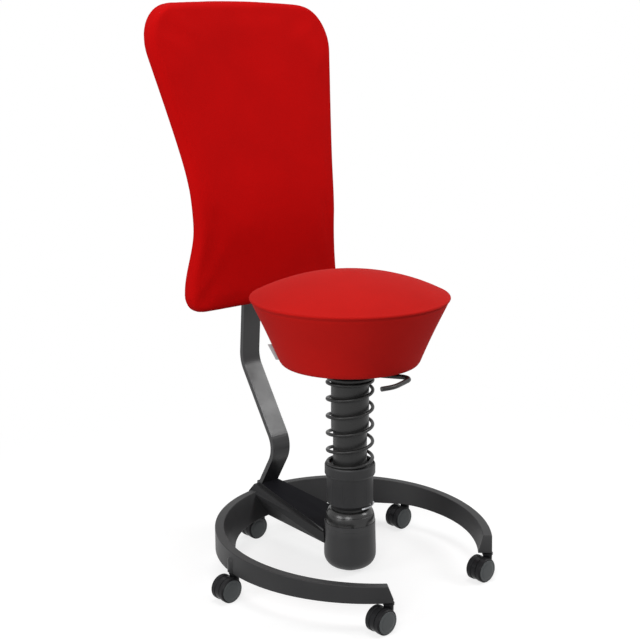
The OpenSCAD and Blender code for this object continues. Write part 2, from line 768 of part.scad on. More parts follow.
module coil_spring() {
    sides = 6;
    // straight run of one wire diameter past each end
    first = wire_at(wire_turns[0]);
    last = wire_at(wire_turns[wire_steps]);
    run0 = spring_start + 360 * wire_turns[0];
    run1 = spring_start + 360 * wire_turns[wire_steps];
    stops = concat([[first + wire_d * [sin(run0), -cos(run0), 0], run0]],
        [for (t = wire_turns) [wire_at(t), spring_start + 360 * t]],
        [[last + wire_d * [-sin(run1), cos(run1), 0], run1]]);
    points = [for (s = stops, k = [0 : sides - 1]) let(a = 30 + 360 * k / sides)
        s[0] + wire_r * [cos(a) * cos(s[1]), cos(a) * sin(s[1]), sin(a)]];
    top = len(stops) - 1;
    faces = concat(
        [for (j = [0 : top - 1], k = [0 : sides - 1]) let(a = j * sides + k, b = j * sides + (k + 1) % sides)
            each [[a, b, a + sides], [b, b + sides, a + sides]]],
        [for (k = [1 : sides - 2]) [0, k + 1, k]],
        [for (k = [1 : sides - 2]) [top * sides, top * sides + k, top * sides + k + 1]]);
    color(soft_black) polyhedron(points, faces);
}

// Sleeve, spring plate and gas spring

module upper_sleeve() {
    color(soft_black) tube(sleeve_r, tube_r + fit, sleeve_z, top_plate_z);
}

cylinder_flange = 4;
bush_h = 60;          // guide of the column in the cylinder
rod_in_column = 20;   // left in the column at its highest
cylinder_base = 6;
cylinder_z = column_z0 - height_down - cylinder_base - 3;

module spring_plate() {
    color(soft_black) difference() {
        rotate_extrude() polygon([[0, top_plate_z], [top_plate_r - 1, top_plate_z],
            [top_plate_r, top_plate_z + 1], [top_plate_r, top_plate_z + top_plate_t - 3],
            [top_plate_r - 3, top_plate_z + top_plate_t], [0, top_plate_z + top_plate_t]]);
        translate([0, 0, top_plate_z - over]) cylinder(r = cylinder_r + fit, h = top_plate_t + 2 * over);
    }
}

module gas_cylinder() {
    top = top_plate_z + top_plate_t;
    color(gloss_black) {
        tube(cylinder_r, cylinder_r - cylinder_wall, cylinder_z, top);
        tube(cylinder_r + 4, cylinder_r - cylinder_wall, top, top + cylinder_flange);
        translate([0, 0, cylinder_z]) cylinder(r = cylinder_r - cylinder_wall / 2, h = cylinder_base);
    }
}

module gas_bush() {
    top = top_plate_z + top_plate_t + cylinder_flange;
    color(soft_black) tube(cylinder_r - cylinder_wall - fit, column_r + fit, top - bush_h, top);
}

module gas_rod() {
    color(steel) translate([0, 0, cylinder_z + cylinder_base])
        cylinder(r = rod_r, h = column_z0 + height_up + rod_in_column - cylinder_z - cylinder_base);
}

module gas_column() {
    seal = 14;
    color(steel) difference() {
        translate([0, 0, column_z0]) cylinder(r = column_r, h = column_z1 - column_z0);
        translate([0, 0, column_z0 - over]) cylinder(r = rod_r + fit, h = seal + 2 * over);
        translate([0, 0, column_z0 + seal]) cylinder(r = column_r - 3, h = height_down + height_up + 30);
        translate([0, 0, column_z1 - 20]) cylinder(r = valve_r + fit, h = 20 + over);
    }
}

// Valve pin in the column's top, pressed by the height lever
valve_r = 3;
valve_up = 5;

module valve_pin() {
    color(steel) translate([0, 0, column_z1 - 12]) cylinder(r = valve_r, h = 12 + valve_up);
}

// Seat

// Radius of the seat's outer side at the height z
function seat_side(z) = let(t = (z - seat_foot_z) / (seat_z - seat_foot_z))
    seat_foot_r + (seat_r - seat_foot_r) * t - side_draw * 4 * t * (1 - t);
pan_z = seat_z - pan_drop;
mount_top = pan_z - pan_wall - 2;
shell_gap = side_t + 2 * soft_gap;
shell_round = 6;     // drop of the shell's rounded rim

// Share of the crown's height lost at the share t of its radius
function crown_fall(t) = 0.3 * t + 0.7 * pow(t, 2.5);

module seat_cushion() {
    steps = 14;
    crown = [for (k = [0 : steps]) let(t = k / steps)
        [(seat_r - seam_round / 2) * t, crown_z - (crown_z - seat_z - seam_round / 2) * crown_fall(t)]];
    seam = [for (a = [70 : -20 : -30])
        [seat_r - seam_round / 2 + seam_round / 2 * cos(a), seat_z + seam_round / 2 * sin(a)]];
    side = [for (k = [9 : -1 : 1]) let(z = seat_foot_z + (seat_z - seat_foot_z) * k / 10) [seat_side(z), z]];
    foot = [[seat_foot_r + 0.5, seat_foot_z + 3], [seat_foot_r - 2, seat_foot_z],
        [seat_foot_r - side_t + 2, seat_foot_z]];
    inside = [for (k = [0 : 4]) let(z = seat_foot_z + 3 + (pan_z - seat_foot_z - 8) * k / 4)
        [seat_side(z) - side_t, z]];
    color(red) rotate_extrude($fn = 128)
        polygon(concat(crown, seam, side, foot, inside,
            [[seat_side(pan_z) - side_t - 4, pan_z + soft_gap], [0, pan_z + soft_gap]]));
}

module seat_shell() {
    low = seat_foot_z + 8;
    levels = [for (k = [0 : 4]) low + (pan_z - shell_round - low) * k / 4];
    outside = [for (k = [4 : -1 : 0]) [seat_side(levels[k]) - shell_gap, levels[k]]];
    inside = [for (z = levels) [seat_side(z) - shell_gap - pan_wall, min(z, mount_top)]];
    color(soft_black) rotate_extrude($fn = 128)
        polygon(concat([[0, pan_z], [seat_side(pan_z) - shell_gap - shell_round, pan_z]], outside, inside,
            [[0, mount_top]]));
}

mount_t = 5;
socket_z0 = column_z1 - 26;
lever_in_z = column_z1 + valve_up + soft_gap + lever_r;
lever_hinge = -27;
lever_slot = 2 * lever_r + 3;
slot_floor = column_z1 - 2;
slot_roof = lever_in_z + lever_r + 1.5;
lever_pin_r = 2;
cheek = 6;
cheek_end = 48;
seat_screw_r = 3;
seat_head_r = 5.5;
seat_head_h = 3.5;
seat_screw_at = seat_plate_r - 12;

// Places its children in the height lever's frame: x outwards along the lever
module along_lever() {
    rotate([0, 0, lever_turn]) children();
}

// Places its children on the four seat screws
module at_seat_screws() {
    for (a = [45 : 90 : 315]) along_lever() rotate([0, 0, a]) translate([seat_screw_at, 0, 0]) children();
}

module lever_pin_bore() {
    translate([lever_hinge, 0, lever_in_z]) rotate([90, 0, 0]) translate([0, 0, -far / 2])
        cylinder(r = lever_pin_r + fit, h = far);
}

// Cast plate under the seat shell, with the socket for the column and the lever's channel
module seat_mount() {
    color(soft_black) difference() {
        union() {
            translate([0, 0, mount_top - mount_t]) cylinder(r = seat_plate_r, h = mount_t);
            translate([0, 0, socket_z0]) cylinder(r = socket_r, h = mount_top - socket_z0);
            along_lever() translate([lever_hinge - 12, -lever_slot / 2 - cheek, socket_z0])
                cube([cheek_end - lever_hinge + 12, lever_slot + 2 * cheek, mount_top - socket_z0]);
        }
        translate([0, 0, socket_z0 - over])
            cylinder(r = column_r + fit, h = column_z1 - socket_z0 + 2 * over);
        along_lever() {
            translate([0, lever_slot / 2, 0]) rotate([90, 0, 0]) linear_extrude(lever_slot)
                polygon([[lever_hinge - 8, slot_floor], [socket_r + 2, slot_floor],
                    [socket_r + 2, socket_z0 - over], [cheek_end + over, socket_z0 - over],
                    [cheek_end + over, slot_roof], [lever_hinge - 8, slot_roof]]);
            lever_pin_bore();
        }
        at_seat_screws() translate([0, 0, mount_top - mount_t - over])
            cylinder(r = seat_screw_r + fit, h = mount_t + 2 * over);
    }
}

module seat_screws() {
    color(steel) at_seat_screws() {
        translate([0, 0, mount_top - mount_t]) cylinder(r = seat_screw_r, h = mount_t);
        translate([0, 0, mount_top - mount_t - seat_head_h]) cylinder(r = seat_head_r, h = seat_head_h);
    }
}

module lever_pivot() {
    color(steel) along_lever() translate([lever_hinge, -lever_slot / 2 - cheek + 0.5, lever_in_z])
        rotate([-90, 0, 0]) cylinder(r = lever_pin_r, h = lever_slot + 2 * cheek - 1);
}

rod_bend_r = 12;
grip_tip = 14;

// A length of the rod along x, running into the bends before and after it
module rod(length, before = bend_lap, after = bend_lap) {
    rotate([0, 90, 0]) translate([0, 0, -before]) cylinder(r = lever_r, h = length + before + after);
}

// A bend of the rod in the plane of x and y, about the origin
module rod_bend(r, from, turn) {
    rotate([0, 0, from]) rotate_extrude(angle = turn) translate([r, 0]) circle(r = lever_r + bend_swell);
}

// The grip: a straight stretch, then a gentle bend, then the tip
module grip() {
    rod(grip_length);
    translate([grip_length, -grip_curl_r, 0]) {
        rod_bend(grip_curl_r, 90 - grip_curl, grip_curl);
        rotate([0, 0, -grip_curl]) translate([0, grip_curl_r, 0]) rod(grip_tip, after = 0);
    }
}

// Bent rod: from the pivot over the valve, down, out under the seat and round to the grip
module height_lever() {
    inner_end = lever_hinge - 5;
    color(soft_black) along_lever() {
        difference() {
            translate([inner_end, 0, lever_in_z]) rod(lever_reach - rod_bend_r - inner_end, before = 0);
            lever_pin_bore();
        }
        translate([lever_reach - rod_bend_r, 0, lever_in_z - rod_bend_r]) rotate([90, 0, 0])
            rod_bend(rod_bend_r, 0, 90);
        translate([lever_reach, 0, lever_z + rod_bend_r]) rotate([0, -90, 0])
            rod(lever_in_z - lever_z - 2 * rod_bend_r);
        translate([lever_reach, 0, lever_z]) rotate([0, 0, lever_skew]) {
            translate([rod_bend_r, 0, rod_bend_r]) rotate([90, 0, 0]) rod_bend(rod_bend_r, 180, 90);
            translate([rod_bend_r, 0, 0]) rod(lever_run - rod_bend_r);
            translate([lever_run, -grip_bend, 0]) {
                rod_bend(grip_bend, 90 - grip_turn, grip_turn);
                rotate([0, 0, -grip_turn]) translate([0, grip_bend, 0]) grip();
            }
        }
    }
}

// Bare fabric tag in the side seam
tag_angle = 137.4;
tag_h = 32;
tag_out = 10;
tag_t = 1.2;
tag_gap = 0.8;        // clear of the side's facets

module seat_tag() {
    z0 = seat_foot_z + 4;
    z1 = z0 + tag_h;
    color([0.6, 0.6, 0.62]) rotate([0, 0, tag_angle]) translate([0, tag_t / 2, 0]) rotate([90, 0, 0])
        linear_extrude(tag_t) polygon([[seat_side(z0) + tag_gap, z0], [seat_side(z0) + tag_out / 2, z0],
            [seat_side(z1) + tag_out, z1], [seat_side(z1) + tag_gap, z1]]);
}

// Castors

stem_low_z = 34;
hood_top = ring_z - 1;
hood_flange_t = 3.5;
hood_neck_r = 9.5;    // round the stem
hood_neck_z = 30;
hood_low = 5;         // clear of the floor
hood_inset = 1;       // of its middle disc inside the wheels' rims
hood_shoulder = 18.5; // height of its back over the axle
hood_flange_r = boss_r - 1;
wheel_in = hood_t / 2 + wheel_gap;

module castor_stems() {
    color(steel) for (i = [0 : 4]) translate([each stem_at(i), 0]) {
        translate([0, 0, ring_z]) cylinder(r = stem_r, h = socket_depth(i) - over);
        translate([0, 0, stem_low_z]) cylinder(r = stem_low_r, h = ring_z - stem_low_z);
    }
}

// Places its children at castor i, whose axle trails towards -X
module at_castor(i) {
    translate([each stem_at(i), 0]) children();
}

module hood(i) {
    color(soft_black) at_castor(i) difference() {
        union() {
            translate([-castor_trail, hood_t / 2, wheel_r]) rotate([90, 0, 0])
                cylinder(r = wheel_r - hood_inset, h = hood_t);
            translate([-castor_trail, -hood_t / 2, wheel_r]) cube([castor_trail, hood_t, hood_shoulder]);
            translate([0, 0, hood_neck_z]) cylinder(r = hood_neck_r, h = hood_top - hood_neck_z);
            translate([0, 0, hood_top - hood_flange_t]) cylinder(r = hood_flange_r, h = hood_flange_t);
        }
        for (s = [0, 180]) translate([-castor_trail, 0, wheel_r]) rotate([-90, 0, s])
            translate([0, 0, hood_t / 2]) cylinder(r = wheel_r + wheel_gap, h = castor_trail);
        translate([-far / 2, -far / 2, -far]) cube([far, far, far + hood_low]);
        translate([0, 0, stem_low_z - soft_gap])
            cylinder(r = stem_low_r + fit, h = hood_top - stem_low_z + over);
        translate([-castor_trail, 0, wheel_r]) rotate([90, 0, 0]) translate([0, 0, -hood_t])
            cylinder(r = axle_r + fit, h = 2 * hood_t);
    }
}

module axle(i) {
    half = wheel_in + wheel_w - 2.5;
    color(steel) at_castor(i) translate([-castor_trail, half, wheel_r]) rotate([90, 0, 0])
        cylinder(r = axle_r, h = 2 * half);
}

// One wheel, its domed face outwards: side is -1 for the -Y wheel
module wheel(i, side) {
    face_r = wheel_r - 4.5;
    color(anthracite) at_castor(i) translate([-castor_trail, side * wheel_in, wheel_r])
        rotate([-90 * side, 0, 0]) difference() {
        rotate_extrude() polygon([[0, 0], [wheel_r - 1.5, 0], [wheel_r, 1.5], [wheel_r, wheel_w - 3],
            [wheel_r - 2, wheel_w - 0.8], [face_r + 0.8, wheel_w - 0.8], [face_r + 0.5, wheel_w - 1.8],
            [face_r, wheel_w - 1], [face_r - 5, wheel_w - 0.2], [0, wheel_w]]);
        translate([0, 0, -over]) cylinder(r = axle_r + fit, h = wheel_w - 2 + over);
    }
}

foot_ring();
ring_arm();
castor_stems();
backrest_bar();
backrest_bracket();
bracket_screws();
backrest_shell();
backrest_cushion();
joint_housing();
housing_collar();
bottom_cap();
housing_pins();
gimbal_ring();
gimbal_pins();
joint_stem();
joint_rubber();
gaiter();
lower_tube();
adjuster_cup();
adjuster_pin();
adjuster_lever();
coil_spring();
upper_sleeve();
spring_plate();
gas_cylinder();
gas_bush();
gas_rod();
gas_column();
valve_pin();
seat_mount();
seat_screws();
lever_pivot();
height_lever();
seat_shell();
seat_cushion();
seat_tag();
hood(0);  // castor_1_hood
axle(0);  // castor_1_axle
wheel(0, 1);  // castor_1_wheel_l
wheel(0, -1);  // castor_1_wheel_r
hood(1);  // castor_2_hood
axle(1);  // castor_2_axle
wheel(1, 1);  // castor_2_wheel_l
wheel(1, -1);  // castor_2_wheel_r
hood(2);  // castor_3_hood
axle(2);  // castor_3_axle
wheel(2, 1);  // castor_3_wheel_l
wheel(2, -1);  // castor_3_wheel_r
hood(3);  // castor_4_hood
axle(3);  // castor_4_axle
wheel(3, 1);  // castor_4_wheel_l
wheel(3, -1);  // castor_4_wheel_r
hood(4);  // castor_5_hood
axle(4);  // castor_5_axle
wheel(4, 1);  // castor_5_wheel_l
wheel(4, -1);  // castor_5_wheel_r
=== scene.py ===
"""Looks of the balance stool: covers, spring, gaiter, foot ring, castor discs, tag and studio.

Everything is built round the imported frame. Sizes are in mm unless a comment says metres.
"""
import json
import math

import bmesh
import bpy
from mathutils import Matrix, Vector, kdtree, noise


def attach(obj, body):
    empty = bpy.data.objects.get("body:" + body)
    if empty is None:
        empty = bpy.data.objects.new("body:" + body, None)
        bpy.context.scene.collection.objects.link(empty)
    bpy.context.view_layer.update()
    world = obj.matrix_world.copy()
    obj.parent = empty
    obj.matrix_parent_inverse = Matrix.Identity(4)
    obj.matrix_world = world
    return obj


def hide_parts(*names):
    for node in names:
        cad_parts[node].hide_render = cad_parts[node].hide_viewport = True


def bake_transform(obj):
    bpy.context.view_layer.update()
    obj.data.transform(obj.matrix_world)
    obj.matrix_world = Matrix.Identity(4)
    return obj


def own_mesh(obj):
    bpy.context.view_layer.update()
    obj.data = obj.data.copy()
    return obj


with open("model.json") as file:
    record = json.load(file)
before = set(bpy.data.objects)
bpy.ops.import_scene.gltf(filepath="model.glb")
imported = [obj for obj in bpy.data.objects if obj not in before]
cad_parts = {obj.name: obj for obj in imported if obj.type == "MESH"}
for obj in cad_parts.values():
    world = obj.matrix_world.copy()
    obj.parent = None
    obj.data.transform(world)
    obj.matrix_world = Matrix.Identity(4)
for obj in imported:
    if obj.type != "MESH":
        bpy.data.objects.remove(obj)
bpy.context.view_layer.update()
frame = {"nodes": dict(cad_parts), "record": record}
nodes = frame["nodes"]
MM = 0.001


# Materials

def material(name):
    m = bpy.data.materials.new(name)
    m.use_nodes = True
    tree = m.node_tree
    tree.nodes.clear()
    out = tree.nodes.new("ShaderNodeOutputMaterial")
    shader = tree.nodes.new("ShaderNodeBsdfPrincipled")
    tree.links.new(shader.outputs[0], out.inputs[0])
    return m, tree, shader


def add(tree, kind, **values):
    node = tree.nodes.new(kind)
    for key, value in values.items():
        if key in node.inputs:
            node.inputs[key].default_value = value
        else:
            setattr(node, key, value)
    return node


def object_place(tree, scale=(1, 1, 1)):
    place = add(tree, "ShaderNodeTexCoord")
    mapping = add(tree, "ShaderNodeMapping")
    mapping.inputs["Scale"].default_value = scale
    tree.links.new(place.outputs["Object"], mapping.inputs["Vector"])
    return mapping.outputs[0]


def noise_at(tree, vector, scale, detail=3.0, rough=0.5):
    tex = add(tree, "ShaderNodeTexNoise", Scale=scale, Detail=detail, Roughness=rough)
    tree.links.new(vector, tex.inputs["Vector"])
    return tex.outputs["Fac"]


def ramp(tree, value, stops):
    node = add(tree, "ShaderNodeValToRGB")
    band = node.color_ramp
    while len(band.elements) < len(stops):
        band.elements.new(0.5)
    for element, (at, colour) in zip(band.elements, stops):
        element.position = at
        element.color = (*colour, 1)
    tree.links.new(value, node.inputs[0])
    return node.outputs[0]


def spread(tree, value, low, high):
    node = add(tree, "ShaderNodeMapRange")
    node.inputs["From Min"].default_value = 0.3
    node.inputs["From Max"].default_value = 0.7
    node.inputs["To Min"].default_value = low
    node.inputs["To Max"].default_value = high
    tree.links.new(value, node.inputs["Value"])
    return node.outputs[0]


def bump(tree, shader, height, strength, distance):
    node = add(tree, "ShaderNodeBump", Strength=strength, Distance=distance)
    tree.links.new(height, node.inputs["Height"])
    tree.links.new(node.outputs[0], shader.inputs["Normal"])


def shade(colour, share):
    return tuple(c * share for c in colour)


def coated(name, colour, rough, grain=900, depth=0.00006, vary=0.12, gloss=0.5):
    """Painted or moulded surface: fine grain, uneven colour and gloss, paler at rubbed edges.

    grain is per metre and depth, of its bumps, in metres.
    """
    m, tree, shader = material(name)
    at = object_place(tree)
    cloud = noise_at(tree, at, 14, 4)
    fine = noise_at(tree, at, grain, 2)
    even = ramp(tree, cloud, [(0.3, shade(colour, 1 - vary)), (0.7, shade(colour, 1 + vary))])
    edge = add(tree, "ShaderNodeNewGeometry").outputs["Pointiness"]
    rubbed = add(tree, "ShaderNodeMapRange")
    rubbed.inputs["From Min"].default_value = 0.52
    rubbed.inputs["From Max"].default_value = 0.60
    rubbed.inputs["To Max"].default_value = 0.35
    tree.links.new(edge, rubbed.inputs["Value"])
    mix = add(tree, "ShaderNodeMix", data_type="RGBA")
    tree.links.new(rubbed.outputs[0], mix.inputs["Factor"])
    tree.links.new(even, mix.inputs[6])
    mix.inputs[7].default_value = (*[min(1, c * 1.6 + 0.02) for c in colour], 1)
    tree.links.new(mix.outputs[2], shader.inputs["Base Color"])
    tree.links.new(spread(tree, cloud, rough - 0.05, rough + 0.07), shader.inputs["Roughness"])
    shader.inputs["Specular IOR Level"].default_value = gloss
    bump(tree, shader, fine, 0.35, depth)
    return m


def metal(name, colour, rough):
    """Bright metal with fine marks drawn across Z, and uneven gloss."""
    m, tree, shader = material(name)
    marks = noise_at(tree, object_place(tree, (1, 1, 12)), 700, 2)
    cloud = noise_at(tree, object_place(tree), 40, 3)
    dull = ramp(tree, cloud, [(0.3, shade(colour, 0.88)), (0.7, colour)])
    tree.links.new(dull, shader.inputs["Base Color"])
    tree.links.new(spread(tree, marks, rough - 0.06, rough + 0.1), shader.inputs["Roughness"])
    shader.inputs["Metallic"].default_value = 1.0
    bump(tree, shader, marks, 0.15, 0.00003)
    return m


WAVE_TURN = 6.28            # with it a weave of 1500 has a thread every 1.3 mm


def cloth(name, colour, weave=1500, rough=0.9, sheen=0.02, vary=0.10, gloss=0.12):
    """Knitted upholstery: crossing threads at real scale, soft fibres and a slightly uneven dye."""
    m, tree, shader = material(name)
    at = object_place(tree)
    waves = []
    for direction in ("X", "Z"):
        wave = add(tree, "ShaderNodeTexWave", Scale=weave / WAVE_TURN, Distortion=0.6, Detail=1.0)
        wave.bands_direction = direction
        tree.links.new(at, wave.inputs["Vector"])
        waves.append(wave.outputs["Fac"])
    threads = add(tree, "ShaderNodeMath", operation="MULTIPLY")
    tree.links.new(waves[0], threads.inputs[0])
    tree.links.new(waves[1], threads.inputs[1])
    fibres = noise_at(tree, at, 2600, 2)
    height = add(tree, "ShaderNodeMath", operation="ADD")
    tree.links.new(threads.outputs[0], height.inputs[0])
    tree.links.new(fibres, height.inputs[1])
    cloud = noise_at(tree, at, 9, 4)
    fleck = noise_at(tree, at, 900, 2)
    dye = ramp(tree, cloud,
               [(0.3, shade(colour, 1 - vary / 2)), (0.7, shade(colour, 1 + vary / 2))])
    flecks = ramp(tree, fleck, [(0.35, (0.90, 0.90, 0.90)), (0.65, (1.06, 1.06, 1.06))])
    mix = add(tree, "ShaderNodeMix", data_type="RGBA", blend_type="MULTIPLY")
    mix.inputs["Factor"].default_value = 1.0
    tree.links.new(dye, mix.inputs[6])
    tree.links.new(flecks, mix.inputs[7])
    tree.links.new(mix.outputs[2], shader.inputs["Base Color"])
    tree.links.new(spread(tree, fleck, rough - 0.06, rough + 0.06), shader.inputs["Roughness"])
    shader.inputs["Sheen Weight"].default_value = sheen
    shader.inputs["Sheen Roughness"].default_value = 0.5
    shader.inputs["Specular IOR Level"].default_value = gloss
    bump(tree, shader, height.outputs[0], 0.35, 0.00012)
    return m


RED = (0.50, 0.0068, 0.0045)
BACK_RED = (0.53, 0.0025, 0.0025)
RING_PAINT = (0.028, 0.028, 0.029)
CAST_PAINT = (0.022, 0.022, 0.023)
BAR_PAINT = (0.011, 0.011, 0.012)
LOOKS = {
    "anthracite_metal": coated("ring_powder_coat", RING_PAINT, 0.44, grain=1400, gloss=0.20),
    "anthracite_casting": coated("casting_powder_coat", CAST_PAINT, 0.46, grain=1400, gloss=0.40),
    "black_metal": coated("bar_powder_coat", BAR_PAINT, 0.30, grain=1200, depth=0.00004,
                          gloss=0.46),
    "black_steel": coated("black_steel", (0.010, 0.010, 0.010), 0.36, grain=700, depth=0.00003,
                          gloss=0.35),
    "bright_steel": metal("bright_steel", (0.62, 0.63, 0.65), 0.26),
    "black_plastic": coated("grained_plastic", (0.014, 0.014, 0.015), 0.46, grain=1800,
                            depth=0.00008, gloss=0.35),
    "black_rubber": coated("black_rubber", (0.012, 0.012, 0.012), 0.24, grain=500, depth=0.00002,
                           vary=0.2, gloss=0.5),
    "red_fabric": cloth("red_wool", RED),
    "grey_fabric": cloth("grey_tape", (0.46, 0.46, 0.47), weave=3500, sheen=0.05),
    "castor_plastic": coated("castor_plastic", (0.006, 0.006, 0.007), 0.26, grain=400,
                             depth=0.00002, gloss=0.10),
    "castor_tread": coated("castor_tread", (0.008, 0.008, 0.009), 0.42, grain=600, depth=0.00004,
                           gloss=0.12),
}
CAP_LOOK = coated("castor_cap", (0.056, 0.062, 0.064), 0.40, grain=900, depth=0.00003, gloss=0.35)
BACK_LOOK = cloth("backrest_wool", BACK_RED, sheen=0.004, gloss=0.05)
ARM_LOOK = coated("arm_coat", CAST_PAINT, 0.44, grain=1400, gloss=0.06)
# Foot plate: black paint made darker still and almost without gloss, as painted shade of the seat
# and backrest above it
PLATE_SHADE_LOOK = coated("plate_painted_shade", (0.006, 0.006, 0.008), 0.50, grain=1400, depth=0.00004,
                    gloss=0.01)
SHADED_PLATE_TOP = 0.14            # height in metres below which the bar's upward faces are its foot plate, coloured near-black as painted shade
for part in frame["record"]["subparts"]:
    mesh = nodes[part["node"]].data
    mesh.materials.clear()
    look = ARM_LOOK if part["node"] == "ring_arm" else LOOKS[part["material_slot"]]
    mesh.materials.append(look)
bar_mesh = nodes["backrest_bar"].data
bar_mesh.materials.append(PLATE_SHADE_LOOK)
# Upward faces low on the bar take the near-black plate look: painted shade on the foot plate's top
for face in bar_mesh.polygons:
    if face.normal.z > 0.6 and face.center.z < SHADED_PLATE_TOP:
        face.material_index = 1


# Edges of the rigid pieces: a small rounding that catches the light

EDGE_ANGLE = math.radians(32)


def round_edges(solids, width, segments=2):
    """Width in metres."""
    for solid in solids:
        bevel = solid.modifiers.new("edge", "BEVEL")
        bevel.width = width
        bevel.segments = segments
        bevel.limit_method = "ANGLE"
        bevel.angle_limit = EDGE_ANGLE
        bevel.use_clamp_overlap = True
        bevel.harden_normals = True


round_edges([nodes["ring_arm"], nodes["backrest_bar"]], 0.0012, segments=3)
round_edges([nodes["backrest_bracket"], nodes["seat_mount"]], 0.001)


# Pieces made here

def piece(name, mesh, body, slot, look=None):
    """A smooth piece in the slot's look or its own; with no body it is left unattached."""
    made = bpy.data.objects.new(name, mesh)
    bpy.context.scene.collection.objects.link(made)
    for face in mesh.polygons:
        face.use_smooth = True
    mesh.materials.append(look or LOOKS[slot])
    if body:
        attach(made, body)
    return made


def turned_out(mesh):
    """The mesh with its faces turned outwards."""
    made = bmesh.new()
    made.from_mesh(mesh)
    bmesh.ops.recalc_face_normals(made, faces=made.faces)
    made.to_mesh(mesh)
    made.free()
    return mesh


def loft_faces(count, n):
    """Faces between rings of n points each."""
    return [(j * n + k, j * n + (k + 1) % n, (j + 1) * n + (k + 1) % n, (j + 1) * n + k)
            for j in range(count - 1) for k in range(n)]


def mesh_of(name, rings, cap_first=None, cap_last=None):
    """A mesh through rings of points, each joined to the next; the caps are single points."""
    n = len(rings[0])
    verts = [v for r in rings for v in r]
    faces = loft_faces(len(rings), n)
    for cap, row, flip in ((cap_first, 0, True), (cap_last, len(rings) - 1, False)):
        if cap is not None:
            verts.append(cap)
            for k in range(n):
                a, b = row * n + k, row * n + (k + 1) % n
                faces.append((b, a, len(verts) - 1) if flip else (a, b, len(verts) - 1))
    mesh = bpy.data.meshes.new(name)
    mesh.from_pydata([tuple(v) for v in verts], [], faces)
    mesh.validate()
    return turned_out(mesh)


def middle(ring):
    return tuple(sum(p[i] for p in ring) / len(ring) for i in range(3))


def capped(name, rings):
    """A mesh through the rings, closed at both ends round their middles."""
    return mesh_of(name, rings, cap_first=middle(rings[0]), cap_last=middle(rings[-1]))


def slope(d, k):
    """d above 0 and 0 below it, with a bend about k long."""
    return (d + math.sqrt(d * d + k * k)) / 2


def ease(t):
    s = min(1, max(0, t))
    return s * s * (3 - 2 * s)


def revolved(name, profile, steps, wobble=None):
    """Revolves (r, z) points about the strut; wobble(r, z, angle) may move each in r and z."""
    rings = []
    for r, z in profile:
        ring = []
        for k in range(steps):
            a = 2 * math.pi * k / steps
            dr, dz = wobble(r, z, a) if wobble else (0, 0)
            out = r + dr
            ring.append((out * math.cos(a) * MM, out * math.sin(a) * MM, (z + dz) * MM))
        rings.append(ring)
    return mesh_of(name, rings)


# Covers as cloth: a copy swells over its foam, and the cover's own points and seams move with it

VOXEL = 0.006               # metres
PRESSURE = 4.0
CLOTH_FRAMES = 20
NEAR_POINTS = 6


def swell(made, most, hold):
    """hold(point in mm) is 1 where the cover is sewn and 0 where it is free; most is in metres."""
    scene = bpy.context.scene
    copy = bpy.data.objects.new(made.name + "_cloth", made.data.copy())
    scene.collection.objects.link(copy)
    remesh = copy.modifiers.new("even", "REMESH")
    remesh.mode = "VOXEL"
    remesh.voxel_size = VOXEL
    graph = bpy.context.evaluated_depsgraph_get()
    even = bpy.data.meshes.new_from_object(copy.evaluated_get(graph))
    copy.modifiers.clear()
    copy.data = even
    sewn = copy.vertex_groups.new(name="sewn")
    start = kdtree.KDTree(len(even.vertices))
    for v in even.vertices:
        sewn.add([v.index], hold(v.co / MM), "REPLACE")
        start.insert(v.co, v.index)
    start.balance()
    sim = copy.modifiers.new("cloth", "CLOTH")
    sim.point_cache.frame_start = 1
    sim.point_cache.frame_end = CLOTH_FRAMES
    sim.settings.quality = 5
    sim.settings.mass = 0.2
    sim.settings.tension_stiffness = 15
    sim.settings.compression_stiffness = 15
    sim.settings.shear_stiffness = 6
    sim.settings.bending_stiffness = 0.5
    sim.settings.use_pressure = True
    sim.settings.uniform_pressure_force = PRESSURE
    sim.settings.effector_weights.gravity = 0
    sim.settings.vertex_group_mass = "sewn"
    for frame_number in range(1, CLOTH_FRAMES + 1):
        scene.frame_set(frame_number)
    swollen = copy.evaluated_get(bpy.context.evaluated_depsgraph_get()).to_mesh()
    moves = [a.co - b.co for a, b in zip(swollen.vertices, even.vertices)]
    for v in made.data.vertices:
        near = start.find_n(v.co, NEAR_POINTS)
        weights = [1 / (distance + MM) for _, _, distance in near]
        total = sum((moves[index] * w for (_, index, _), w in zip(near, weights)), Vector())
        move = total / sum(weights)
        if move.length > most:
            move *= most / move.length
        v.co += move
    made.data.update()
    bpy.data.objects.remove(copy)
    scene.frame_set(1)


# Seat cover

SEAT_R, SEAT_Z, CROWN_Z = 200.0, 578.0, 630.0
FOOT_R, FOOT_Z = 139.4, 444.0
SIDE_HOLLOW = 1.5           # how far the side pulls in between its seams
TAG_ANGLE = math.radians(137.4)
SEAM_DEEP, SEAM_HALF, SEAM_R = 1.1, 1.1, 165
FOAM_SCALE, FOAM_SIZE = 0.011, 0.9     # slow unevenness: its scale per mm, and its most
LIP_IN, LIP_R = 3, 3.3      # of the piped edge
HEM_R, HEM_HIGH = 7, 7
WALL = 12.8                 # thickness of the padded side
LID_Z = 576.4               # underside of the seat's padding
TOP_STEPS, SIDE_STEPS, HEM_STEPS, ROUND_STEPS = 45, 34, 7, 224
CENTRE_R = 0.4
SEAT_MOST = 0.0022          # metres


def seat_side(z):
    t = (z - FOOT_Z) / (SEAT_Z - FOOT_Z)
    return FOOT_R + (SEAT_R - FOOT_R) * t - SIDE_HOLLOW * 4 * t * (1 - t)


def side_seam(a):
    """Depth of the upright seam of the cover's side at the angle a."""
    gap = (a - TAG_ANGLE + math.pi) % (2 * math.pi) - math.pi
    return SEAM_DEEP * math.exp(-((gap * SEAM_R / SEAM_HALF) ** 2))


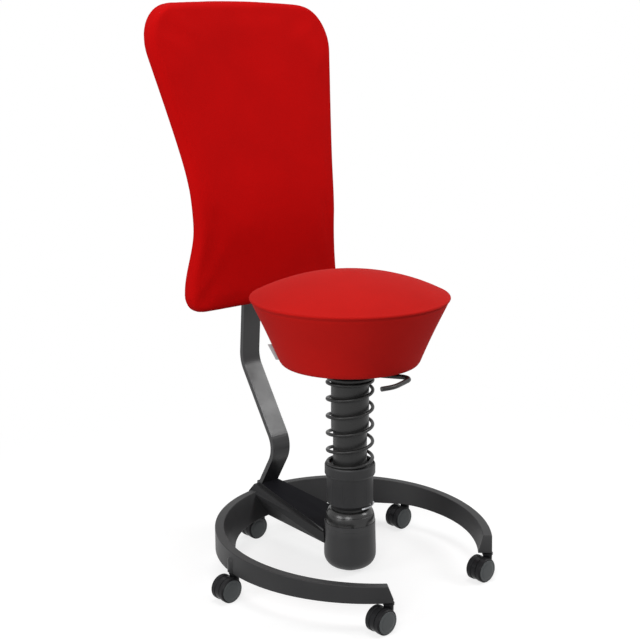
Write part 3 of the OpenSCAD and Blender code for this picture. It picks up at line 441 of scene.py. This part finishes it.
def seat_wobble(r, z, a):
    """The foam's unevenness and the side's seam."""
    at = Vector((r * math.cos(a), r * math.sin(a), z))
    drop = FOAM_SIZE * noise.noise(at * FOAM_SCALE)
    if z >= SEAT_Z - 1:
        return 0, drop * (1 if r < SEAT_R - 10 else 0.4)
    if z > FOOT_Z + 1 and r > FOOT_R - 4.4:
        return drop * 0.7 - side_seam(a), 0
    return 0, 0


def seat_profile():
    """Outside from the crown over the piped edge to the hem, and back inside to the centre."""
    points = []
    for k in range(TOP_STEPS + 1):
        t = k / TOP_STEPS
        fall = (CROWN_Z - SEAT_Z - LIP_IN) * (0.3 * t + 0.7 * t ** 2.5)
        points.append((max(CENTRE_R, (SEAT_R - LIP_IN) * t), CROWN_Z - fall))
    for degrees in (70, 52, 34, 16, -2, -20, -38):
        a = math.radians(degrees)
        points.append((SEAT_R - 3.1 + LIP_R * math.cos(a), SEAT_Z - 0.4 + LIP_R * math.sin(a)))
    points += [(SEAT_R - 2.6, SEAT_Z - 3.4), (SEAT_R - 3.2, SEAT_Z - 4.0),
               (SEAT_R - 2.7, SEAT_Z - 4.8)]
    side_top = SEAT_Z - 5
    for k in range(SIDE_STEPS + 1):
        z = side_top - (side_top - FOOT_Z - HEM_HIGH) * k / SIDE_STEPS
        points.append((seat_side(z) - (0.9 if k == 0 else 0.2 if k == 1 else 0), z))
    for k in range(1, HEM_STEPS + 1):
        a = math.radians(-12 - 78 * k / HEM_STEPS)
        tuck = 0.1 if k < 3 else 0
        points.append((FOOT_R - 5.6 + HEM_R * math.cos(a) + tuck,
                       FOOT_Z + HEM_HIGH + HEM_R * math.sin(a)))
    points += [(FOOT_R - 9, FOOT_Z + 0.1), (FOOT_R - 12, FOOT_Z + 0.9), (FOOT_R - 12.6, FOOT_Z + 3)]
    points += [(seat_side(FOOT_Z + up) - WALL, FOOT_Z + up) for up in (8, 40, 80, 110)]
    points += [(seat_side(FOOT_Z + 110) - 24, LID_Z - 0.4), (60, LID_Z), (CENTRE_R, LID_Z)]
    return points


def seat_hold(p):
    r = math.hypot(p.x, p.y)
    if p.z < FOOT_Z + 9 or (p.z < SEAT_Z - 1 and r < seat_side(p.z) - 6):
        return 1.0
    return max(0.0, 1 - math.hypot(r - SEAT_R + 3, p.z - SEAT_Z + 2) / 14)


cover = piece("seat_cover", revolved("seat_cover", seat_profile(), ROUND_STEPS, seat_wobble),
              "seat", "red_fabric")
swell(cover, SEAT_MOST, seat_hold)
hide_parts("seat_cushion")


# Backrest cover

BACK_Z0, BACK_Z1 = 523.5, 1149.0
CORNER_LOW, CORNER_TOP, EDGE = 40.0, 106.0, 15.0
WAIST_HALF, WAIST_Z, FLARE, BEND = 183, 794, 0.205, 60
BACK_Y, KNEE_Z, LEAN = 254, 762, 0.26
TAIL_Z, TAIL_LONG = 700, 700 - BACK_Z0 - 34     # below it the backrest widens and turns back again
TAIL_WIDE, TAIL_BACK = 17.5, 16.5
HALF_THICK, CROWN, TOP_RISE = 18, 5.0, 5
ROUND_POWER = 0.85          # squareness of the rounded edge
ACROSS, ROUND = 34, 9       # steps across a face and round an edge
BACK_MOST = 0.003           # metres


def back_half(z):
    """Half the width at the height z."""
    tail = TAIL_WIDE * ease((TAIL_Z - z) / TAIL_LONG)
    return WAIST_HALF + FLARE * slope(z - WAIST_Z, BEND) + tail


def back_mid(z):
    """Y of the middle of its thickness."""
    tail = TAIL_BACK * ease((TAIL_Z + 15 - z) / TAIL_LONG)
    return BACK_Y + LEAN * slope(z - KNEE_Z, BEND) + tail


def corner_loss(r, d):
    """Half width lost d away from the end, on a corner of radius r."""
    return 0 if d >= r else r - math.sqrt(max(0, r * r - (r - d) ** 2))


def edge_loss(d, depth, power):
    """Share of the thickness lost d inside the outline, on a rounded edge that deep."""
    if d >= depth:
        return 0
    return 1 - (1 - (1 - d / depth) ** power) ** (1 / power)


def back_ring(z):
    """Points round the backrest at the height z: front, edge, back and the other edge."""
    w = back_half(z) - corner_loss(CORNER_LOW, z - BACK_Z0) - corner_loss(CORNER_TOP, BACK_Z1 - z)
    h = HALF_THICK * (1 - edge_loss(min(z - BACK_Z0, BACK_Z1 - z), EDGE, 2.2))
    rise = TOP_RISE * ((z - BACK_Z0) / (BACK_Z1 - BACK_Z0)) ** 2
    flat = w - EDGE
    points = []

    def at(x, y):
        crown = CROWN * (1 - (x / back_half(z)) ** 2) * (h / HALF_THICK) if y < 0 else 0
        wave = 0.8 * noise.noise(Vector((x * 0.012, y * 0.02, z * 0.009)))
        points.append((x * MM, (back_mid(z) + y - crown + wave) * MM,
                       (z + rise * (1 - (x / max(w, 1)) ** 2)) * MM))

    for face in (-1, 1):
        for k in range(ACROSS + 1):
            at(face * flat * (1 - 2 * k / ACROSS), face * h)
        for k in range(1, ROUND):
            a = face * math.pi / 2 + math.pi * k / ROUND
            out = flat + EDGE * abs(math.cos(a)) ** ROUND_POWER
            at(-face * out, h * math.copysign(abs(math.sin(a)) ** ROUND_POWER, math.sin(a)))
    return points


def back_levels():
    """Heights of the rings, closer together round the corners."""
    low, high = BACK_Z0 + CORNER_LOW, BACK_Z1 - CORNER_TOP
    levels = [BACK_Z0 + CORNER_LOW * (1 - math.cos(math.radians(a)))
              for a in (0, 6, 12, 19, 27, 36, 46, 57, 68, 79)]
    levels += [low + (high - low) * k / 40 for k in range(41)]
    levels += [BACK_Z1 - CORNER_TOP * (1 - math.cos(math.radians(a)))
               for a in (84, 78, 72, 66, 60, 54, 48, 42, 37, 32, 27, 22, 18, 14, 10, 6, 0)]
    return levels


def back_hold(p):
    return 1.0 if p.y - back_mid(min(max(p.z, BACK_Z0), BACK_Z1)) > HALF_THICK / 2 else 0.0


back = piece("backrest_cover", capped("backrest_cover", [back_ring(z) for z in back_levels()]),
             "base", "red_fabric", BACK_LOOK)
swell(back, BACK_MOST, back_hold)
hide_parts("backrest_cushion")


# Coil spring: a round wire, flat at both ends

WIRE_R, PITCH, SEAT_GAP = 3.6, 36.2, 0.3
SPRING_R = 49.7 - WIRE_R
SPRING_LOW, SPRING_HIGH = 227.8 + SEAT_GAP + WIRE_R, 410.8 - SEAT_GAP - WIRE_R
TURNS = (SPRING_HIGH - SPRING_LOW) / PITCH
FLAT = 0.7                  # turns that lie flat at each end
START = -132.6              # degrees
WIRE_STEPS, WIRE_SIDES = 360, 14


def wire_at(t):
    """The wire's middle, in metres, t turns past the start of the pitch."""
    a = math.radians(START + 360 * t)
    z = SPRING_LOW + PITCH * (slope(t, 0.16) - slope(t - TURNS, 0.16))
    return Vector((SPRING_R * math.cos(a), SPRING_R * math.sin(a), z)) * MM


def swept(name, path, radius):
    """A round tube along the path's points, with softly rounded ends, in metres."""
    rings = []
    across = None
    for i, p in enumerate(path):
        ahead = (path[min(i + 1, len(path) - 1)] - path[max(i - 1, 0)]).normalized()
        across = across - ahead * across.dot(ahead) if across else ahead.orthogonal()
        across.normalize()
        over = ahead.cross(across)
        ring = []
        for k in range(WIRE_SIDES):
            a = 2 * math.pi * k / WIRE_SIDES
            ring.append(p + (across * math.cos(a) + over * math.sin(a)) * radius)
        rings.append(ring)

    def end(ring, p, q):
        """The smaller ring beyond an end of the path and the tip beyond it."""
        out = (p - q).normalized() * radius
        return [p + (v - p) * 0.72 + out * 0.28 for v in ring], p + out * 0.35

    first, foot = end(rings[0], path[0], path[1])
    last, tip = end(rings[-1], path[-1], path[-2])
    return mesh_of(name, [first] + rings + [last], cap_first=foot, cap_last=tip)


path = [wire_at(-FLAT + (TURNS + 2 * FLAT) * k / WIRE_STEPS) for k in range(WIRE_STEPS + 1)]
spring = piece("coil_spring_wire", swept("coil_spring_wire", path, WIRE_R * MM),
               "strut", "black_steel")
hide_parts("coil_spring")
# The spring's foot stays at 228 mm, and 182.8 mm of length become 132.8 mm at full bounce.
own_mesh(spring)


# Rubber gaiter over the tilting joint, in two moulded parts that meet in a fold

COLLAR_TOP, NECK_R = 96.7 + 0.3 + 10, 38.6
GAITER_R, GAITER_TOP = 51.6, 135.5
GAITER_CLEAR = 0.3
FOLD, FOLD_HALF = 40, 0.6   # degrees up the dome
GAITER_STEPS, GAITER_ROUND = 12, 128


def dome(degrees):
    """A point of the dome's outside, from 0 at its foot to 90 at the neck."""
    a = math.radians(degrees)
    r, z = NECK_R + GAITER_CLEAR, COLLAR_TOP + GAITER_CLEAR
    return r + (GAITER_R - r) * math.cos(a), z + (GAITER_TOP - z) * math.sin(a)


def gaiter_part(name, low, high):
    outside = [dome(low + (high - low) * k / GAITER_STEPS) for k in range(GAITER_STEPS + 1)]
    inside = [(r - 2.4, z - 1.2) for r, z in reversed(outside)]
    edge = [((outside[-1][0] * 2 + inside[0][0]) / 3, outside[-1][1] - 0.2)]
    return piece(name, revolved(name, outside + edge + inside, GAITER_ROUND), None, "black_rubber")


lower = gaiter_part("gaiter_skirt", 0, FOLD - FOLD_HALF)
upper = gaiter_part("gaiter_dome", FOLD + FOLD_HALF, 88)
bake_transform(lower)
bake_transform(upper)
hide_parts("gaiter")


# Foot ring: a casting whose inner wall leans, so its foot is wider than its upper edge

RING_R, RING_SHIFT, RING_T = 278.0, 46.0, 18.0
FRONT_R = RING_R + RING_SHIFT
RING_LOW, RING_HIGH, RING_FALL = 55.0, 107.0, 0.034
END_REACH, END_FOOT, END_LEAN, END_TURN = 8.0, 8.0, 0.4, 0.3
FOOT_WIDE, FOOT_SIDE, FOOT_END = 42.0, 26.0, 29.0
FRONT_STEPS, REAR_STEPS = 28, 46        # stations of each front arc and of each rear quarter
RING_EDGE = 0.0016                      # metres
BOSS_R, BOSS_TOP = 13.5, 88.0
BOSS_ROUND = 48
STEMS = [[c / MM for c in joint["pos_m"][:2]] for joint in frame["record"]["behaviour"]["joints"]
         if joint["name"].startswith("castor_") and joint["name"].endswith("_swivel")]


def ring_sweep(stem):
    """Angle of a front arc, up to its cut end past the stem."""
    return math.atan2(-stem[1], abs(stem[0]) + RING_SHIFT) + END_REACH / (FRONT_R - RING_T / 2)


def ring_foot(x, y):
    """Width of the casting's foot, wider round the rear."""
    a = abs(math.degrees(math.atan2(x, y)))
    rear, end = ease((78 - a) / 24), ease((a - 100) / 40)
    return FOOT_SIDE + (FOOT_WIDE - FOOT_SIDE) * rear + (FOOT_END - FOOT_SIDE) * end


def ring_point(side, along, inward, z):
    """side is -1 or 1; along is the angle past the ring's widest place, negative in the rear."""
    shift, radius = (0, RING_R) if along < 0 else (RING_SHIFT, FRONT_R)
    r = radius - inward
    return side * (r * math.cos(along) - shift), -r * math.sin(along), z


def ring_section(side, along, end):
    """Six points round the bar; near its end they lie back with the leaning cut."""
    x, y, _ = ring_point(side, along, 0, 0)
    top = RING_HIGH - RING_FALL * (RING_R - y)
    wide = ring_foot(x, y)
    foot = RING_LOW + END_FOOT
    points = []
    for level, inner in ((top, 0), (foot, 0), (RING_LOW, 0), (RING_LOW, 1), (foot, 1), (top, 1)):
        inward = inner * (RING_T + (wide - RING_T) * (top - level) / (top - RING_LOW))
        back = END_LEAN * max(0, level - foot) / FRONT_R
        near_end = max(0, along - end + END_TURN) / END_TURN
        points.append(ring_point(side, along - back * near_end, inward, level))
    return points


def ring_mesh():
    """The whole bar, from its cut end at -X round the rear to the one at +X."""
    ends = [ring_sweep(STEMS[1]), ring_sweep(STEMS[2])]
    quarter = math.pi / 2
    stations = [(-1, ends[0] * (1 - k / FRONT_STEPS)) for k in range(FRONT_STEPS)]
    stations += [(-1, -quarter * k / REAR_STEPS) for k in range(REAR_STEPS)]
    stations += [(1, -quarter * (1 - k / REAR_STEPS)) for k in range(REAR_STEPS)]
    stations += [(1, ends[1] * k / FRONT_STEPS) for k in range(FRONT_STEPS + 1)]
    sections = [ring_section(side, along, ends[0 if side < 0 else 1]) for side, along in stations]
    verts = [tuple(c * MM for c in p) for section in sections for p in section]
    faces = loft_faces(len(sections), 6)
    for s in (0, 6 * (len(sections) - 1)):
        faces += [(s, s + 1, s + 4, s + 5), (s + 1, s + 2, s + 3, s + 4)]
    mesh = bpy.data.meshes.new("foot_ring_casting")
    mesh.from_pydata(verts, [], faces)
    return turned_out(mesh)


def boss(name, stem):
    """Round boss of a castor's socket on the outside of the ring, domed at its top."""
    profile = [(0.3, BOSS_TOP), (4, 87.7), (8, 86.4), (11.4, 84.0), (13, 81.0), (BOSS_R, 77.0),
               (BOSS_R, RING_LOW + 1), (BOSS_R - 1, RING_LOW + 0.2), (0.3, RING_LOW + 0.2)]
    rings = []
    for r, z in profile:
        ring = []
        for k in range(BOSS_ROUND):
            a = 2 * math.pi * k / BOSS_ROUND
            ring.append(((stem[0] + r * math.cos(a)) * MM, (stem[1] + r * math.sin(a)) * MM,
                         z * MM))
        rings.append(ring)
    piece(name, capped(name, rings), "base", "anthracite_metal")


casting = piece("foot_ring_casting", ring_mesh(), "base", "anthracite_metal")
round_edges([casting], RING_EDGE, segments=3)
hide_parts("foot_ring")
boss("ring_boss_l", STEMS[0])
boss("ring_boss_r", STEMS[3])


# Castor discs: domed, with a moulded ring, on the outside of each wheel

WHEEL_R, TRAIL = 25.0, 20.0
WHEEL_OUT = 5.5 + 1 + 12.5  # half the hood, the gap and the wheel's width
CAP_ROUND = 48


def cap(name, stem, side, body):
    """Its profile gives each radius and how far it stands out of the wheel's face."""
    profile = [(0.3, 1.05), (7, 1.0), (12.5, 0.85), (16.8, 0.6), (17.3, 0.25), (17.9, 0.25),
               (18.4, 0.5), (20.7, 0.25), (21.5, -0.05), (21.8, -0.4), (21.2, -0.9), (0.3, -0.9)]
    rings = []
    for r, out in profile:
        ring = []
        for k in range(CAP_ROUND):
            a = 2 * math.pi * k / CAP_ROUND
            ring.append(((stem[0] - TRAIL + r * math.cos(a)) * MM,
                         (stem[1] + side * (WHEEL_OUT + out)) * MM,
                         (WHEEL_R + r * math.sin(a)) * MM))
        rings.append(ring)
    piece(name, mesh_of(name, rings), body, "castor_tread", CAP_LOOK)


for number, stem in enumerate(STEMS, 1):
    for letter, side in (("l", 1), ("r", -1)):
        cap(f"castor_{number}_cap_{letter}", stem, side, f"castor_{number}_wheel_{letter}")


# Bare tag in the cover's side seam: folded tape with a sewn edge

TAG_FOOT, TAG_LONG, TAG_STEPS = 4, 32, 16


def tag_mesh():
    """The tape's two leaves and their fold, slightly curled, at each height up the side."""
    c, s = math.cos(TAG_ANGLE), math.sin(TAG_ANGLE)
    rings = []
    for k in range(TAG_STEPS + 1):
        t = k / TAG_STEPS
        z = FOOT_Z + TAG_FOOT + TAG_LONG * t
        reach = 7.5 + 2.5 * t
        curl = 0.9 * math.sin(t * 2.4)
        leaf = ((0, 0.55), (reach * 0.5, 0.5 + curl * 0.4), (reach, 0.32 + curl),
                (reach + 0.25, curl),
                (reach, -0.32 + curl), (reach * 0.5, -0.5 + curl * 0.4), (0, -0.55))
        ring = []
        for out, y in leaf:
            x = seat_side(z) + 0.4 + out
            ring.append(((x * c - y * s) * MM, (x * s + y * c) * MM, z * MM))
        rings.append(ring)
    return capped("tag", rings)


tag = piece("side_tag", tag_mesh(), "seat", "grey_fabric")
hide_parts("seat_tag")


# Floor, light and camera, in metres

FLOOR_HALF = 30
FLOOR_GREY, FLOOR_LIFT = 0.37, 0.72
FADE_FROM, FADE_TO = 0.45, 1.3
WORLD_LIGHT = 0.25


def studio():
    """White floor that keeps the stool's shadow near it and fades to plain white further out."""
    floor = bpy.data.meshes.new("floor")
    corners = [(x * FLOOR_HALF, y * FLOOR_HALF, 0) for x, y in ((-1, -1), (1, -1), (1, 1), (-1, 1))]
    floor.from_pydata(corners, [], [(0, 1, 2, 3)])
    ground = bpy.data.objects.new("floor", floor)
    bpy.context.scene.collection.objects.link(ground)
    m = bpy.data.materials.new("pale_floor")
    m.use_nodes = True
    tree = m.node_tree
    tree.nodes.clear()
    out = tree.nodes.new("ShaderNodeOutputMaterial")
    lit = add(tree, "ShaderNodeBsdfDiffuse", Color=(FLOOR_GREY, FLOOR_GREY, FLOOR_GREY, 1))
    lift = add(tree, "ShaderNodeEmission", Color=(1, 1, 1, 1))
    plain = add(tree, "ShaderNodeEmission", Color=(1, 1, 1, 1), Strength=1.0)
    seen = seen_ray(tree)
    level = add(tree, "ShaderNodeMath", operation="MULTIPLY")
    level.inputs[1].default_value = FLOOR_LIFT
    tree.links.new(seen, level.inputs[0])
    tree.links.new(level.outputs[0], lift.inputs["Strength"])
    near = tree.nodes.new("ShaderNodeAddShader")
    tree.links.new(lit.outputs[0], near.inputs[0])
    tree.links.new(lift.outputs[0], near.inputs[1])
    away = add(tree, "ShaderNodeVectorMath", operation="LENGTH")
    tree.links.new(add(tree, "ShaderNodeTexCoord").outputs["Object"], away.inputs[0])
    fade = add(tree, "ShaderNodeMapRange", interpolation_type="SMOOTHSTEP")
    fade.inputs["From Min"].default_value = FADE_FROM
    fade.inputs["From Max"].default_value = FADE_TO
    tree.links.new(away.outputs["Value"], fade.inputs["Value"])
    share = add(tree, "ShaderNodeMath", operation="MULTIPLY")
    tree.links.new(fade.outputs[0], share.inputs[0])
    tree.links.new(seen, share.inputs[1])
    mix = tree.nodes.new("ShaderNodeMixShader")
    tree.links.new(share.outputs[0], mix.inputs[0])
    tree.links.new(near.outputs[0], mix.inputs[1])
    tree.links.new(plain.outputs[0], mix.inputs[2])
    tree.links.new(mix.outputs[0], out.inputs[0])
    floor.materials.append(m)

    world = bpy.data.worlds.new("studio")
    bpy.context.scene.world = world
    world.use_nodes = True
    tree = world.node_tree
    tree.nodes.clear()
    out = tree.nodes.new("ShaderNodeOutputWorld")
    soft_light = add(tree, "ShaderNodeBackground", Color=(1, 1, 1, 1), Strength=WORLD_LIGHT)
    white = add(tree, "ShaderNodeBackground", Color=(1, 1, 1, 1), Strength=1.0)
    mix = tree.nodes.new("ShaderNodeMixShader")
    tree.links.new(seen_ray(tree), mix.inputs[0])
    tree.links.new(soft_light.outputs[0], mix.inputs[1])
    tree.links.new(white.outputs[0], mix.inputs[2])
    tree.links.new(mix.outputs[0], out.inputs[0])


def seen_ray(tree):
    """1 for a ray from the camera, off a gloss or through glass."""
    ray = add(tree, "ShaderNodeLightPath")
    value = ray.outputs["Is Camera Ray"]
    for name in ("Is Glossy Ray", "Is Transmission Ray"):
        most = add(tree, "ShaderNodeMath", operation="MAXIMUM")
        tree.links.new(value, most.inputs[0])
        tree.links.new(ray.outputs[name], most.inputs[1])
        value = most.outputs[0]
    return value


def lamp(name, place, aim, size, watts):
    """A round soft lamp, turned to aim."""
    data = bpy.data.lights.new(name, "AREA")
    data.shape = "DISK"
    data.size = size
    data.energy = watts
    made = bpy.data.objects.new(name, data)
    bpy.context.scene.collection.objects.link(made)
    made.location = place
    made.rotation_euler = (Vector(aim) - Vector(place)).to_track_quat("-Z", "Y").to_euler()


studio()
lamp("key", (-3.0, -2.3, 2.3), (0, 0.1, 0.6), 1.8, 62)
lamp("top", (0.2, 0.2, 4.2), (0, 0.1, 0.5), 2.4, 60)
lamp("side", (-3.4, 0.4, 1.5), (0, 0.1, 0.6), 1.6, 42)
lamp("fill", (2.05, -1.75, 2.2), (0, 0.2, 0.4), 1.15, 30)

# Solved from the photograph: place, angle down, turn, focal length in pixels and middle column
CAMERA_AT, CAMERA_DOWN, CAMERA_TURN = (-1.7103, -1.8613, 1.1107), 12.943, -42.58
SENSOR, PHOTO_WIDTH, FOCAL_PX, MIDDLE_PX = 36, 640, 1300, 350
camera = bpy.data.objects.new("camera", bpy.data.cameras.new("camera"))
bpy.context.scene.collection.objects.link(camera)
camera.location = CAMERA_AT
camera.rotation_euler = (math.radians(90 - CAMERA_DOWN), 0, math.radians(CAMERA_TURN))
camera.data.lens = SENSOR * FOCAL_PX / PHOTO_WIDTH
camera.data.sensor_width = SENSOR
camera.data.shift_x = (PHOTO_WIDTH / 2 - MIDDLE_PX) / PHOTO_WIDTH
bpy.context.scene.camera = camera
bpy.context.scene.view_settings.view_transform = "Standard"
